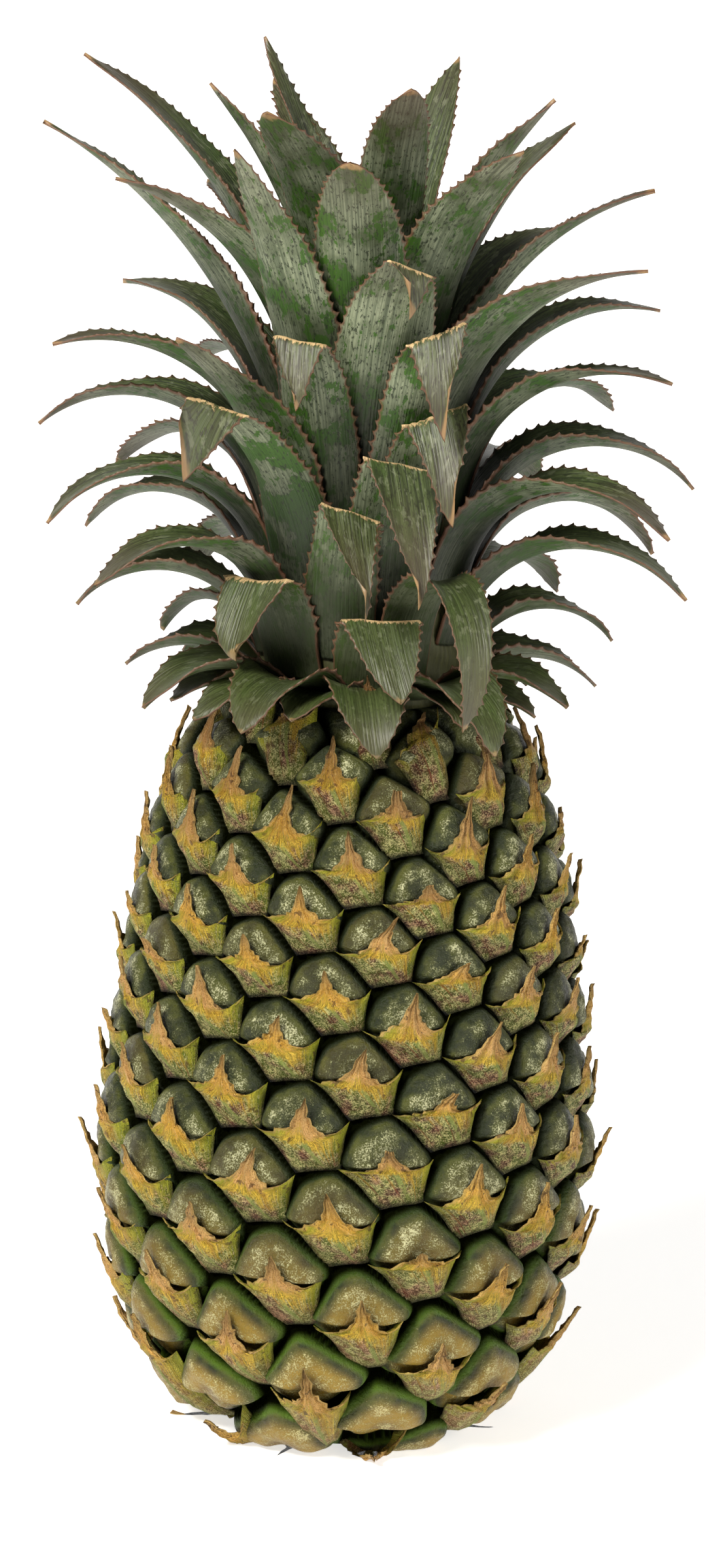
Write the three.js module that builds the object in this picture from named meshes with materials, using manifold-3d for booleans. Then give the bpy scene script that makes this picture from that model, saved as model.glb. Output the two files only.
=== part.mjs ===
// A whole pineapple standing on its base: the fruit with its spiral of eyes, the cut stalk under it, and
// the crown of toothed leaves. Millimetres, +Z up, the front faces -Y, origin at the centre of the base.
import * as THREE from "three";
import { mergeVertices } from "three/addons/utils/BufferGeometryUtils.js";
import Module from "manifold-3d";

const wasm = await Module();
wasm.setup();

// Driving dimensions
const fruitHeight = 181;
const bellyRadius = 60.5;
const firstEye = -5; // the eyes are counted from the lowest one that shows whole from the side
const firstEyeS = 2.2; // how far up the outline the spiral of eyes starts
const eyePhase = 65.3; // degrees that eye 0 stands round from the front
const eyeAreaLow = 575; // surface that one eye takes near the base, in square millimetres
const eyeAreaHigh = 288; // the same from the middle of the fruit up
const lastLargeEye = 118;
const grooveDepth = 4.6;
const stalkRadius = 13;
const stalkLength = 8;
const leafCount = 57;
const crownPhase = 15; // degrees that the lowest crown leaf stands round from the front
const crownFoot = 6.2; // height of the lowest leaf's root on the stem
const crownRise = 1.43; // height from one leaf's root to the next one's
const stemRadius = 24.5;
const clearance = 0.4; // gap that every leaf, stem and stalk keeps to its neighbour

const goldenAngle = 360 * (1 - 2 / (1 + Math.sqrt(5)));
const radians = (degrees) => (degrees * Math.PI) / 180;
const mix = (a, b, t) => a + (b - a) * t;
const ease = (t) => {
  const c = Math.min(1, Math.max(0, t));
  return c * c * (3 - 2 * c);
};

// A repeatable random number from 0 to 1 for thing n, one for each kind of variation.
function chance(n, kind) {
  const x = Math.sin(n * 12.9898 + kind * 78.233 + 1.7) * 43758.5453;
  return x - Math.floor(x);
}

// A Catmull-Rom curve through points, at u from 0 to 1.
function through(points, u) {
  const last = points.length - 1;
  const x = Math.min(Math.max(u, 0), 1) * last;
  const i = Math.min(Math.floor(x), last - 1);
  const t = x - i;
  const p = [i - 1, i, i + 1, i + 2].map((j) => points[Math.min(Math.max(j, 0), last)]);
  return p[1].map((_, k) => {
    const [a, b, c, d] = p.map((q) => q[k]);
    return b + 0.5 * t * (c - a + t * (2 * a - 5 * b + 4 * c - d + t * (3 * (b - c) + d - a)));
  });
}

// Half outline of the fruit, from the rim of the flat base up to the crown: share of the belly radius,
// share of the height.
const outline = [
  [0.47, 0], [0.61, 0.012], [0.74, 0.055], [0.875, 0.135], [0.962, 0.25], [1, 0.39], [0.965, 0.51],
  [0.92, 0.63], [0.87, 0.74], [0.79, 0.85], [0.68, 0.94], [0.56, 0.985], [0.42, 1],
];
const outlineSteps = 480;
const meridian = [];
for (let i = 0; i <= outlineSteps; i++) {
  const [r, z] = through(outline, i / outlineSteps);
  const before = meridian[i - 1];
  const point = { r: r * bellyRadius, z: z * fruitHeight, s: 0 };
  if (before) point.s = before.s + Math.hypot(point.r - before.r, point.z - before.z);
  meridian.push(point);
}
const meridianLength = meridian[outlineSteps].s;

// Radius, height and outward normal of the outline at a distance s along it.
function onOutline(s) {
  const want = Math.min(Math.max(s, 0), meridianLength);
  let i = 1;
  while (i < outlineSteps && meridian[i].s < want) i++;
  const a = meridian[i - 1];
  const b = meridian[i];
  const t = (want - a.s) / (b.s - a.s);
  const d = b.s - a.s;
  return { r: mix(a.r, b.r, t), z: mix(a.z, b.z, t), nr: (b.z - a.z) / d, nz: -(b.r - a.r) / d };
}

// The eyes climb the outline in one spiral, each a golden angle round from the last. Low eyes are larger.
const eyeArea = (n) => eyeAreaHigh + (eyeAreaLow - eyeAreaHigh) * Math.max(0, 1 - n / lastLargeEye) ** 1.6;
const eyeS = [];
for (let s = firstEyeS; s < meridianLength - 1; ) {
  const n = firstEye + eyeS.length;
  eyeS.push(s);
  s += eyeArea(n) / (2 * Math.PI * onOutline(s).r);
}
const eyeCount = eyeS.length;
const eyeAzimuth = (i) => radians(eyePhase - (firstEye + i) * goldenAngle);

// The three eyes that meet at each corner of an eye, as steps along the spiral. 8, 13 and 21 steps
// lead to its neighbours. In turn: top, right, low right, bottom, left and high left corner.
const cornerSteps = [[0, 13, 21], [-8, 0, 13], [-21, -8, 0], [-21, -13, 0], [-13, 0, 8], [0, 8, 21]];

// Azimuth and distance along the outline of one corner of eye n. Past the first or last eye it lies on
// the rim.
function corner(n, steps) {
  const around = steps.map((d) => {
    const turn = eyeAzimuth(n + d) - eyeAzimuth(n);
    return turn - 2 * Math.PI * Math.round(turn / (2 * Math.PI));
  });
  const offRim = n + steps[0] < 0 ? 0 : n + steps[2] >= eyeCount ? meridianLength : null;
  const s = offRim ?? steps.reduce((sum, d) => sum + eyeS[n + d], 0) / 3;
  return { turn: around.reduce((sum, x) => sum + x, 0) / 3, s, onRim: offRim !== null };
}

// The points of one eye: how far they lie towards two of its corners, and how far out from the outline.
const eyePoints = {
  domeTop: { to: [[0, 0.66]], out: -1.2 },
  domeHighLeft: { to: [[5, 0.66]], out: -1.2 },
  domeHighRight: { to: [[0, 0.3], [1, 0.42]], out: -0.9 },
  domeCrest: { to: [[0, 0.32]], out: 0.1 },
  domeRight: { to: [[1, 0.8]], out: -2.6 },
  domeLeft: { to: [[4, 0.8]], out: -2.6 },
  domeFoot: { to: [[0, 0.02]], out: -1.8 },
  wingRight: { to: [[1, 0.86], [2, 0.08]], out: -0.9 },
  wingLeft: { to: [[4, 0.86], [3, 0.08]], out: -0.9 },
  lipRight: { to: [[1, 0.3], [2, 0.08]], out: 0.5 },
  lipLeft: { to: [[4, 0.3], [3, 0.08]], out: 0.5 },
  keel: { to: [[2, 0.21], [3, 0.29]], out: 1.1 },
  footRight: { to: [[2, 0.74]], out: -1.3 },
  footLeft: { to: [[3, 0.74]], out: -1.3 },
  thorn: { to: [[0, 0.6], [5, 0.32]], out: 1.7 },
};

// The faces of one eye, each turning anticlockwise seen from outside: numbers are its corners.
const eyeFaces = [
  [0, 5, "domeHighLeft"], [0, "domeHighLeft", "domeTop"], [0, "domeTop", "domeHighRight"],
  [0, "domeHighRight", 1], [1, "domeHighRight", "domeRight"], [5, 4, "domeLeft"],
  [5, "domeLeft", "domeHighLeft"],
  ["domeCrest", "domeTop", "domeHighLeft"], ["domeCrest", "domeHighLeft", "domeLeft"],
  ["domeCrest", "domeLeft", "domeFoot"], ["domeCrest", "domeFoot", "domeRight"],
  ["domeCrest", "domeRight", "domeHighRight"], ["domeCrest", "domeHighRight", "domeTop"],
  [4, "wingLeft", "domeLeft"], [1, "domeRight", "wingRight"],
  ["domeLeft", "wingLeft", "lipLeft"], ["domeLeft", "lipLeft", "domeFoot"],
  ["domeFoot", "lipLeft", "lipRight"], ["domeFoot", "lipRight", "domeRight"],
  ["domeRight", "lipRight", "wingRight"],
  ["lipRight", "lipLeft", "thorn"], ["lipLeft", "keel", "thorn"], ["keel", "lipRight", "thorn"],
  ["wingLeft", "footLeft", "lipLeft"], ["lipLeft", "footLeft", "keel"],
  ["keel", "footLeft", "footRight"], ["keel", "footRight", "lipRight"],
  ["lipRight", "footRight", "wingRight"],
  [4, 3, "footLeft"], [4, "footLeft", "wingLeft"], [3, 2, "footRight"], [3, "footRight", "footLeft"],
  [2, 1, "wingRight"], [2, "wingRight", "footRight"],
];

// A closed indexed mesh as a manifold-3d solid, and back.
function toSolid(geometry) {
  const bare = geometry.clone();
  bare.deleteAttribute("normal");
  bare.deleteAttribute("uv");
  const merged = mergeVertices(bare, 1e-3);
  return new wasm.Manifold(
    new wasm.Mesh({
      numProp: 3,
      vertProperties: merged.attributes.position.array,
      triVerts: new Uint32Array(merged.index.array),
    }),
  );
}

function toGeometry(solid) {
  const mesh = solid.getMesh();
  return new THREE.BufferGeometry()
    .setAttribute("position", new THREE.BufferAttribute(new Float32Array(mesh.vertProperties), 3))
    .setIndex(new THREE.BufferAttribute(new Uint32Array(mesh.triVerts), 1));
}

// Points and faces collected into one closed mesh.
class Shell {
  points = [];
  faces = [];
  add(x, y, z) {
    return this.points.push(x, y, z) / 3 - 1;
  }
  face(...corners) {
    for (let i = 2; i < corners.length; i++) this.faces.push(corners[0], corners[i - 1], corners[i]);
  }
  geometry() {
    return new THREE.BufferGeometry()
      .setAttribute("position", new THREE.BufferAttribute(new Float32Array(this.points), 3))
      .setIndex(this.faces);
  }
}

// The fruit: every eye is a dome with a pointed bract over its lower half, between grooves, and the flat
// base and top close it.
function fruitShell() {
  const shell = new Shell();
  const shared = new Map();
  const rims = { low: [], high: [] };

  function place(azimuth, s, out) {
    const { r, z, nr, nz } = onOutline(s);
    const reach = r + nr * out;
    return shell.add(reach * Math.sin(azimuth), -reach * Math.cos(azimuth), Math.max(0, z + nz * out));
  }

  for (let n = 0; n < eyeCount; n++) {
    const centre = eyeAzimuth(n);
    const scale = Math.sqrt((eyeS[Math.min(n + 8, eyeCount - 1)] - eyeS[Math.max(n - 8, 0)]) / 14);
    const corners = cornerSteps.map((steps) => {
      const at = corner(n, steps);
      const key = steps.map((d) => n + d).sort((a, b) => a - b).join();
      if (!shared.has(key)) {
        const index = place(centre + at.turn, at.s, at.onRim ? 0 : -grooveDepth * scale);
        shared.set(key, index);
        if (at.onRim) (at.s === 0 ? rims.low : rims.high).push(index);
      }
      return { ...at, index: shared.get(key) };
    });
    const named = {};
    for (const [name, { to, out }] of Object.entries(eyePoints)) {
      const turn = to.reduce((sum, [c, share]) => sum + share * corners[c].turn, 0);
      const s = to.reduce((sum, [c, share]) => sum + share * (corners[c].s - eyeS[n]), eyeS[n]);
      named[name] = place(centre + turn, s, out * scale);
    }
    const indexOf = (p) => (typeof p === "number" ? corners[p].index : named[p]);
    for (const face of eyeFaces) shell.face(...face.map(indexOf));
  }

  // Each rim is a ring of corners in order of azimuth, closed by a fan round the axis.
  const azimuthOf = (i) => Math.atan2(shell.points[3 * i], -shell.points[3 * i + 1]);
  for (const [ring, height, facing] of [[rims.low, 0, -1], [rims.high, fruitHeight, 1]]) {
    ring.sort((a, b) => (azimuthOf(a) - azimuthOf(b)) * facing);
    const middle = shell.add(0, 0, height);
    ring.forEach((index, i) => shell.face(middle, index, ring[(i + 1) % ring.length]));
  }
  return shell.geometry();
}

// A solid of revolution about the axis from [radius, height] points that start and end on it.
const turned = (points, sides) =>
  new THREE.LatheGeometry(points.map(([r, z]) => new THREE.Vector2(r, z)), sides).rotateX(Math.PI / 2);

const stalkSides = 20;
const stalkShape = (radius, length) =>
  turned([[0, 0], [radius, 0], [radius, length - 1.5], [radius - 1.5, length], [0, length]], stalkSides);

// The crown's stem with the leaf bases that wrap it.
const stemFoot = fruitHeight + clearance;
const stemHeight = crownFoot + crownRise * leafCount - 2;
const stemOutline = [
  [1, 0], [1, 0.42], [0.92, 0.6], [0.76, 0.76], [0.54, 0.9], [0.3, 0.98],
];
const stemPoints = stemOutline.map(([r, z]) => [r * stemRadius, stemFoot + z * stemHeight]);
const stemShape = () =>
  turned([[0, stemFoot], ...stemPoints, [0, stemFoot + stemHeight]], 20);

function stemRadiusAt(z) {
  for (let i = 1; i < stemPoints.length; i++) {
    const [r0, z0] = stemPoints[i - 1];
    const [r1, z1] = stemPoints[i];
    if (z <= z1) return z <= z0 ? r0 : mix(r0, r1, (z - z0) / (z1 - z0));
  }
  return stemPoints[stemPoints.length - 1][0];
}

// How the leaves change from the lowest one to the heart: length, width, the direction at the root and
// at the tip in degrees from straight up, and how late along the leaf it bends.
const habit = [
  { length: 40, width: 17, lean: 30, tipTurn: 150, late: 1 },
  { length: 54, width: 20, lean: 22, tipTurn: 148, late: 1 },
  { length: 63, width: 23, lean: 19, tipTurn: 142, late: 1 },
  { length: 67, width: 25, lean: 17, tipTurn: 134, late: 1 },
  { length: 70, width: 26, lean: 16, tipTurn: 112, late: 1.1 },
  { length: 73, width: 25, lean: 16, tipTurn: 84, late: 1.2 },
  { length: 78, width: 22, lean: 14, tipTurn: 66, late: 1.2 },
  { length: 72, width: 15, lean: 9, tipTurn: 30, late: 1 },
];

// Leaves that differ from the habit. turn is how many degrees further round one stands. fold is how far
// along its length a leaf is folded over, by is the angle of the fold in degrees, skew is how far the fold
// runs aslant, and aside is how far the tip swings sideways, both as shares of the length. shoulder is how
// far up the leaf stays broad, and point how slowly it narrows there, so that a small one gives a round end.
const special = {
  0: { turn: -10, fold: 0.44, by: 88, lean: 25, tipTurn: 60, length: 41, aside: 0.12, shoulder: 3.5 },
  3: {
    turn: -5, fold: 0.52, by: 110, skew: 0.03, lean: 21, tipTurn: 50, length: 42, aside: 0.04,
    width: 18.5, shoulder: 5, point: 0.6,
  },
  5: { turn: -24, lean: 11, tipTurn: 200, length: 79, aside: -0.05, width: 14.5, late: 1.1 },
  8: {
    turn: -6, fold: 0.56, by: 105, skew: -0.04, lean: 18, tipTurn: 42, length: 58, aside: 0.2,
    width: 18,
  },
  10: { turn: -10, lean: 26, tipTurn: 145, length: 66 },
  11: { aside: -0.1 },
  13: {
    turn: -17, fold: 0.5, by: 112, skew: -0.03, lean: 14, tipTurn: 40, length: 74, aside: 0.03,
    width: 18.5,
  },
  16: {
    turn: -8, fold: 0.77, by: 66, skew: -0.08, lean: 13, tipTurn: 80, length: 71, aside: -0.04,
    width: 20, shoulder: 1.7,
  },
  18: { turn: 2 },
  21: {
    turn: 15, fold: 0.61, by: 112, skew: 0.05, lean: 14, tipTurn: 46, length: 64, aside: 0, width: 17,
  },
  24: { lean: 12, tipTurn: 62, length: 62, aside: 0, width: 22 },
  26: {
    turn: -19, fold: 0.7, by: 115, skew: 0.05, lean: 10.5, tipTurn: 45, length: 74, aside: -0.02,
    width: 17.8,
  },
  29: {
    turn: -14, fold: 0.72, by: 118, skew: -0.02, lean: 11, tipTurn: 48, length: 60, aside: 0.09,
    width: 20,
  },
  31: { lean: 12, length: 61, aside: 0.16, width: 17.6 },
  32: { turn: -11, width: 21 },
  34: {
    turn: -15, fold: 0.84, by: 105, skew: -0.04, lean: 13, tipTurn: 52, length: 70, aside: 0.06,
    width: 24, shoulder: 3,
  },
  37: { lean: 13, tipTurn: 44, length: 84, aside: 0, width: 21, shoulder: 2 },
  39: { aside: 0.18 },
  40: { lean: 20, tipTurn: 64, length: 97, aside: 0 },
  42: { turn: -5, lean: 12, tipTurn: 58, length: 80, aside: 0, width: 25, shoulder: 2.6, point: 0.6 },
  45: { aside: -0.12, width: 21 },
  48: { lean: 18, tipTurn: 62, length: 96 },
  50: { lean: 12, tipTurn: 60, width: 20, shoulder: 3, point: 0.6 },
  55: { lean: 10, tipTurn: 52, width: 17, shoulder: 3, point: 0.6 },
  56: { width: 12 },
};

function leafForm(k) {
  const x = (k / (leafCount - 1)) * (habit.length - 1);
  const i = Math.min(Math.floor(x), habit.length - 2);
  const own = special[k] ?? {};
  const usual = (name) => own[name] ?? mix(habit[i][name], habit[i + 1][name], x - i);
  const vary = (kind, spread) => 1 + spread * (2 * chance(k, kind) - 1);
  const root = stemFoot + crownFoot + k * crownRise;
  return {
    azimuth: radians(crownPhase + (own.turn ?? 0) - k * goldenAngle),
    root,
    foot: stemRadiusAt(root),
    length: usual("length") * vary(1, 0.05),
    width: usual("width") * vary(2, 0.06),
    lean: radians(usual("lean") * vary(3, 0.1)),
    tipTurn: radians(usual("tipTurn") * vary(4, 0.06)),
    late: usual("late"),
    aside: own.aside ?? 0.1 * (2 * chance(k, 5) - 1),
    fold: own.fold,
    by: radians(own.by ?? 0),
    skew: own.skew ?? 0,
    shoulder: own.shoulder ?? 2.5,
    point: own.point ?? 0.85,
  };
}

// Two rings of short leaves grow out of the stem just under the lowest long leaves: those of the lower ring
// lie out flat, and those of the upper one rise and hang over. Lengths, widths and angles lie between two
// values. root is the height above the stem's foot, inset how deep the root starts in the stem, and stations
// are the shares of the length where the blade has its points.
const collars = [
  {
    count: 10, root: 1.6, inset: 4, length: [25, 30], width: [17, 20], lean: [62, 70], tipTurn: [112, 132],
    stations: [0, 0.45, 0.8],
  },
  {
    count: 11, root: 2.2, inset: 2.6, length: [33, 42], width: [20, 23], lean: [46, 54], tipTurn: [128, 164],
    stations: [0, 0.36, 0.62, 0.84],
  },
];

function collarForm(ring, k) {
  const { count, root, inset, length, width, lean, tipTurn } = collars[ring];
  const between = ([low, high], kind) => mix(low, high, chance(k + 10 * ring, kind));
  const evenly = (360 * k) / count + 8 * (chance(k, 15) - 0.5);
  return {
    azimuth: radians(ring ? evenly : crownPhase + (k + 1) * goldenAngle),
    root: stemFoot + root,
    foot: stemRadius - inset,
    length: between(length, 7),
    width: between(width, 8),
    lean: radians(between(lean, 9)),
    tipTurn: radians(between(tipTurn, 10)),
    late: 1,
    aside: between([-0.08, 0.08], 11),
    by: 0,
    skew: 0,
    shoulder: 2.2,
    point: 0.85,
  };
}

// Half the leaf's thickness, and half its width, at share t of its length.
const halfThick = (t) => mix(0.9, 0.4, t);
const halfWidth = (t, { width, shoulder, point }) =>
  (width / 2) * (0.9 + 0.1 * ease(t / 0.3)) * (1 - t ** shoulder) ** point;
const foldStretch = 0.07; // share of the length over which a folded leaf turns

// A line along the leaf in its own upright plane: distance from the axis, height and direction. The
// direction turns steadily from the root to the tip, and sharply at a fold. side is -1 for the line of the
// left edge, 0 for the middle one and 1 for the right edge, which a skew fold crosses at other places.
const lineSteps = 80;
function leafLine({ foot, root, length, lean, tipTurn, late, fold, by, skew }, side) {
  const line = [{ r: foot + clearance + halfThick(0), z: root, turn: lean }];
  const step = length / lineSteps;
  for (let i = 1; i <= lineSteps; i++) {
    const t = (i - 0.5) / lineSteps;
    const past = (t - fold - skew * side) / foldStretch;
    const turn = mix(lean, tipTurn, t ** late) + (fold ? by * ease(past) : 0);
    const last = line[i - 1];
    line.push({ r: last.r + Math.sin(turn) * step, z: last.z + Math.cos(turn) * step, turn });
  }
  return line;
}

// The blade is a trough open towards the axis that flattens where it folds. Both edges carry teeth.
const toothReach = 1.2;
const leafStations = [0, 0.13, 0.27, 0.41, 0.55, 0.69, 0.82, 0.92];

function leafShell(form, stations = leafStations) {
  const lines = [-1, 0, 1].map((side) => leafLine(form, side));
  const shell = new Shell();
  const { fold, skew } = form;
  const past = fold + foldStretch + 0.02;
  const foldRings = [fold - 0.02, fold + foldStretch / 2, past, mix(past, 1, 0.4), mix(past, 1, 0.75)];
  const rings = fold ? [0, fold * 0.33, fold * 0.66, ...foldRings] : stations;

  // A point at share ring of the length, from the left edge at -1 to the right one at 1, raised towards the
  // axis. Near a skew fold the rings run aslant with it.
  function place(ring, side, raise, tooth = 0) {
    const behind = ring - fold - foldStretch / 2;
    const t = fold ? Math.max(0, ring + side * skew * Math.exp(-((behind / 0.1) ** 2))) : ring;
    const x = t * lineSteps;
    const i = Math.min(Math.floor(x), lineSteps - 1);
    const line = lines[side + 1];
    const at = (name) => mix(line[i][name], line[i + 1][name], x - i);
    const turn = at("turn");
    const flat = fold ? 1 - 0.8 * Math.exp(-((behind / (behind < 0 ? 0.09 : 0.2)) ** 2)) : 1;
    const hollow = mix(form.foot + 2, form.width * 0.6, ease(t / 0.4)) / flat;
    const angle = (side * (halfWidth(t, form) + tooth)) / hollow;
    const cup = hollow * (1 - Math.cos(angle)) + raise;
    const across = hollow * Math.sin(angle) + form.aside * form.length * t * t;
    const r = at("r") - Math.cos(turn) * cup;
    const z = at("z") + Math.sin(turn) * cup;
    const sin = Math.sin(form.azimuth);
    const cos = Math.cos(form.azimuth);
    return shell.add(r * sin + across * cos, -r * cos + across * sin, z);
  }

  const sides = [-1, 0, 1];
  const inner = rings.map((t) => sides.map((side) => place(t, side, halfThick(t) * (side ? 0.8 : 1))));
  const outer = rings.map((t) => sides.map((side) => place(t, side, -halfThick(t) * (side ? 0.8 : 1))));
  const last = rings.length - 1;
  for (let i = 0; i < last; i++) {
    for (const side of [0, 2]) {
      const t = mix(rings[i], rings[i + 1], 0.72);
      const toothIn = place(t, side - 1, halfThick(t) * 0.7, toothReach);
      const toothOut = place(t, side - 1, -halfThick(t) * 0.7, toothReach);
      const face = (...f) => shell.face(...(side ? f : f.reverse()));
      face(inner[i][1], inner[i + 1][1], inner[i + 1][side], inner[i][side]);
      face(inner[i][side], inner[i + 1][side], toothIn);
      face(outer[i][1], outer[i][side], outer[i + 1][side], outer[i + 1][1]);
      face(outer[i + 1][side], outer[i][side], toothOut);
      face(inner[i][side], toothIn, toothOut, outer[i][side]);
      face(toothIn, inner[i + 1][side], outer[i + 1][side], toothOut);
    }
  }
  const tip = place(1, 0, 0);
  shell.face(inner[last][1], inner[last][0], tip);
  shell.face(inner[last][2], inner[last][1], tip);
  shell.face(outer[last][0], outer[last][1], tip);
  shell.face(outer[last][1], outer[last][2], tip);
  shell.face(inner[last][0], outer[last][0], tip);
  shell.face(outer[last][2], inner[last][2], tip);
  shell.face(inner[0][0], inner[0][1], outer[0][1], outer[0][0]);
  shell.face(inner[0][1], inner[0][2], outer[0][2], outer[0][1]);
  return shell.geometry();
}

const finish = (color, roughness) => new THREE.MeshStandardMaterial({ color, roughness, metalness: 0 });
const skin = finish(0x5a6130, 0.6);
const wood = finish(0xb79a68, 0.85);
const leafBase = finish(0x8f9c78, 0.7);
const leafGreen = finish(0x6d8160, 0.65);

const pineapple = new THREE.Group();

function addPiece(name, geometry, material) {
  const mesh = new THREE.Mesh(geometry, material);
  mesh.name = name;
  pineapple.add(mesh);
}

const socket = toSolid(stalkShape(stalkRadius + clearance, stalkLength + clearance).translate(0, 0, -0.001));
addPiece("fruit", toGeometry(toSolid(fruitShell()).subtract(socket)), skin);
addPiece("stalk", stalkShape(stalkRadius, stalkLength), wood);
let crownStem = toSolid(stemShape());
for (const [ring, { count, stations }] of collars.entries()) {
  for (let k = 0; k < count; k++) {
    crownStem = crownStem.add(toSolid(leafShell(collarForm(ring, k), stations)));
  }
}
addPiece("crown_stem", toGeometry(crownStem), leafBase);
for (let k = 0; k < leafCount; k++) {
  addPiece(`leaf_${String(k + 1).padStart(2, "0")}`, leafShell(leafForm(k)), leafGreen);
}

export default pineapple;
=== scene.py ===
import math

import bpy
import numpy as np
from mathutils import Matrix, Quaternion, Vector


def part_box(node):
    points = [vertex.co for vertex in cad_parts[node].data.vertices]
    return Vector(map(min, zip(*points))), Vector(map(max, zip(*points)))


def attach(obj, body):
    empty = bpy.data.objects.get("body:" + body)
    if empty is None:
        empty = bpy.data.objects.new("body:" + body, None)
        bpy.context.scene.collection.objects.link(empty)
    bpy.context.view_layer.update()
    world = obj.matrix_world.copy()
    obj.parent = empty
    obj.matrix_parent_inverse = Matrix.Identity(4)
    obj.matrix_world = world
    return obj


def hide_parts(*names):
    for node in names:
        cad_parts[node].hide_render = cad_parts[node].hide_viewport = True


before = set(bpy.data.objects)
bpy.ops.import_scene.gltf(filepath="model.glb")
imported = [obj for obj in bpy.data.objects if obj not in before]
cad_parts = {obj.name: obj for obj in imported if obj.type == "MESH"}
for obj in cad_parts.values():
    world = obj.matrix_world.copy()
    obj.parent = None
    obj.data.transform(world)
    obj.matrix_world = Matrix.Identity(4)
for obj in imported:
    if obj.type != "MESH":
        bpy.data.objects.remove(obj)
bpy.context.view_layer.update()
print("frame loaded:", len(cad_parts), "nodes")

mm = 0.001  # everything below is worked out in millimetres and scaled once, when it becomes a mesh
goldenTurn = 2 * math.pi * (1 - 2 / (1 + math.sqrt(5)))


# Shared helpers

def mix(a, b, t):
    return a + (b - a) * t


def ease(t):
    c = np.clip(t, 0, 1)
    return c * c * (3 - 2 * c)


def chance(n, kind):
    # a repeatable number from 0 to 1 for thing n, another one for each kind of variation
    x = np.sin(np.asarray(n) * 12.9898 + kind * 78.233 + 1.7) * 43758.5453
    return x - np.floor(x)


def through(points, u):
    # Catmull-Rom curve through the points (..., count, size), at shares u from 0 to 1
    points = np.asarray(points, float)
    last = points.shape[-2] - 1
    x = np.clip(u, 0, 1) * last
    i = np.minimum(np.floor(x).astype(int), last - 1)
    t = (x - i)[..., None]
    a, b, c, d = (points[..., np.clip(i + k, 0, last), :] for k in (-1, 0, 1, 2))
    return b + 0.5 * t * (c - a + t * (2 * a - 5 * b + 4 * c - d + t * (3 * (b - c) + d - a)))


def wave(x, y, seed):
    # smooth ripples between about -1 and 1: three sines that cross each other
    turn = 6.28 * chance(seed, 31)
    return (np.sin(x + turn) + np.sin(0.63 * x + 0.9 * y + 2 * turn)
            + np.sin(1.7 * y - 0.4 * x + 3 * turn)) / 3


def turned(r, z, azimuth):
    # points at radius r and height z about the axis. Azimuth 0 is the front
    return np.stack([r * np.sin(azimuth), -r * np.cos(azimuth), 0 * azimuth + z], -1)


def ringFaces(rows, columns):
    # rings of points from the lowest up, closed by two poles that come after them: the low one, the high one
    index = np.arange(rows * columns).reshape(rows, columns)
    right = np.roll(index, -1, axis=1)
    quads = np.stack([a.ravel() for a in (index[:-1], right[:-1], right[1:], index[1:])], 1)
    low, high = (np.full(columns, rows * columns + pole) for pole in (0, 1))
    caps = [np.stack([low, right[0], index[0]], 1), np.stack([high, index[-1], right[-1]], 1)]
    return quads, np.concatenate(caps)


def sheetFaces(rows, columns):
    # a thin closed sheet: the upper grid, the under grid after it, and a rim between their borders
    upper = np.arange(rows * columns).reshape(rows, columns)
    corners = [upper[:-1, :-1], upper[:-1, 1:], upper[1:, 1:], upper[1:, :-1]]
    top = np.stack([c.ravel() for c in corners], 1)
    border = np.concatenate([upper[0, :-1], upper[:-1, -1], upper[-1, :0:-1], upper[:0:-1, 0]])
    ahead = np.roll(border, -1)
    count = rows * columns
    rim = np.stack([ahead, border, border + count, ahead + count], 1)
    return np.concatenate([top, top[:, ::-1] + count, rim])


def addMesh(name, points, quads, finish, values=None, triangles=None):
    # points in millimetres, faces as index rows, values as {attribute: one number or one triple per point}
    triangles = np.empty((0, 3), int) if triangles is None else triangles
    mesh = bpy.data.meshes.new(name)
    mesh.vertices.add(len(points))
    mesh.vertices.foreach_set("co", (points * mm).astype(np.float32).ravel())
    mesh.loops.add(quads.size + triangles.size)
    corners = np.concatenate([quads.ravel(), triangles.ravel()])
    mesh.loops.foreach_set("vertex_index", corners.astype(np.int32))
    starts = np.concatenate([np.arange(len(quads)) * 4, quads.size + np.arange(len(triangles)) * 3])
    mesh.polygons.add(len(starts))
    mesh.polygons.foreach_set("loop_start", starts.astype(np.int32))
    mesh.update(calc_edges=True)
    for key, value in (values or {}).items():
        value = np.asarray(value, np.float32)
        if value.ndim == 1:
            mesh.attributes.new(key, "FLOAT", "POINT").data.foreach_set("value", value)
        else:
            mesh.attributes.new(key, "FLOAT_VECTOR", "POINT").data.foreach_set("vector", value.ravel())
    mesh.polygons.foreach_set("use_smooth", np.full(len(starts), True))
    mesh.materials.append(finish)
    piece = bpy.data.objects.new(name, mesh)
    bpy.context.scene.collection.objects.link(piece)
    return piece


def settle(piece, slotName, *nodes):
    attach(piece, "root")
    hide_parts(*nodes)


# Shader helpers

def newFinish(name):
    material = bpy.data.materials.new(name)
    material.use_nodes = True
    nodes = material.node_tree.nodes
    nodes.clear()
    output = nodes.new("ShaderNodeOutputMaterial")
    shader = nodes.new("ShaderNodeBsdfPrincipled")
    material.node_tree.links.new(shader.outputs[0], output.inputs[0])
    return material, material.node_tree, shader


def dress(g, shader, skin, roughness, height, distance, strength):
    # the colour, roughness and relief of a material
    g.feed(shader.inputs["Base Color"], skin)
    g.feed(shader.inputs["Roughness"], roughness)
    bump = g.node("Bump", {"Height": height, "Distance": distance, "Strength": strength})
    g.feed(shader.inputs["Normal"], bump.outputs[0])


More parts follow.
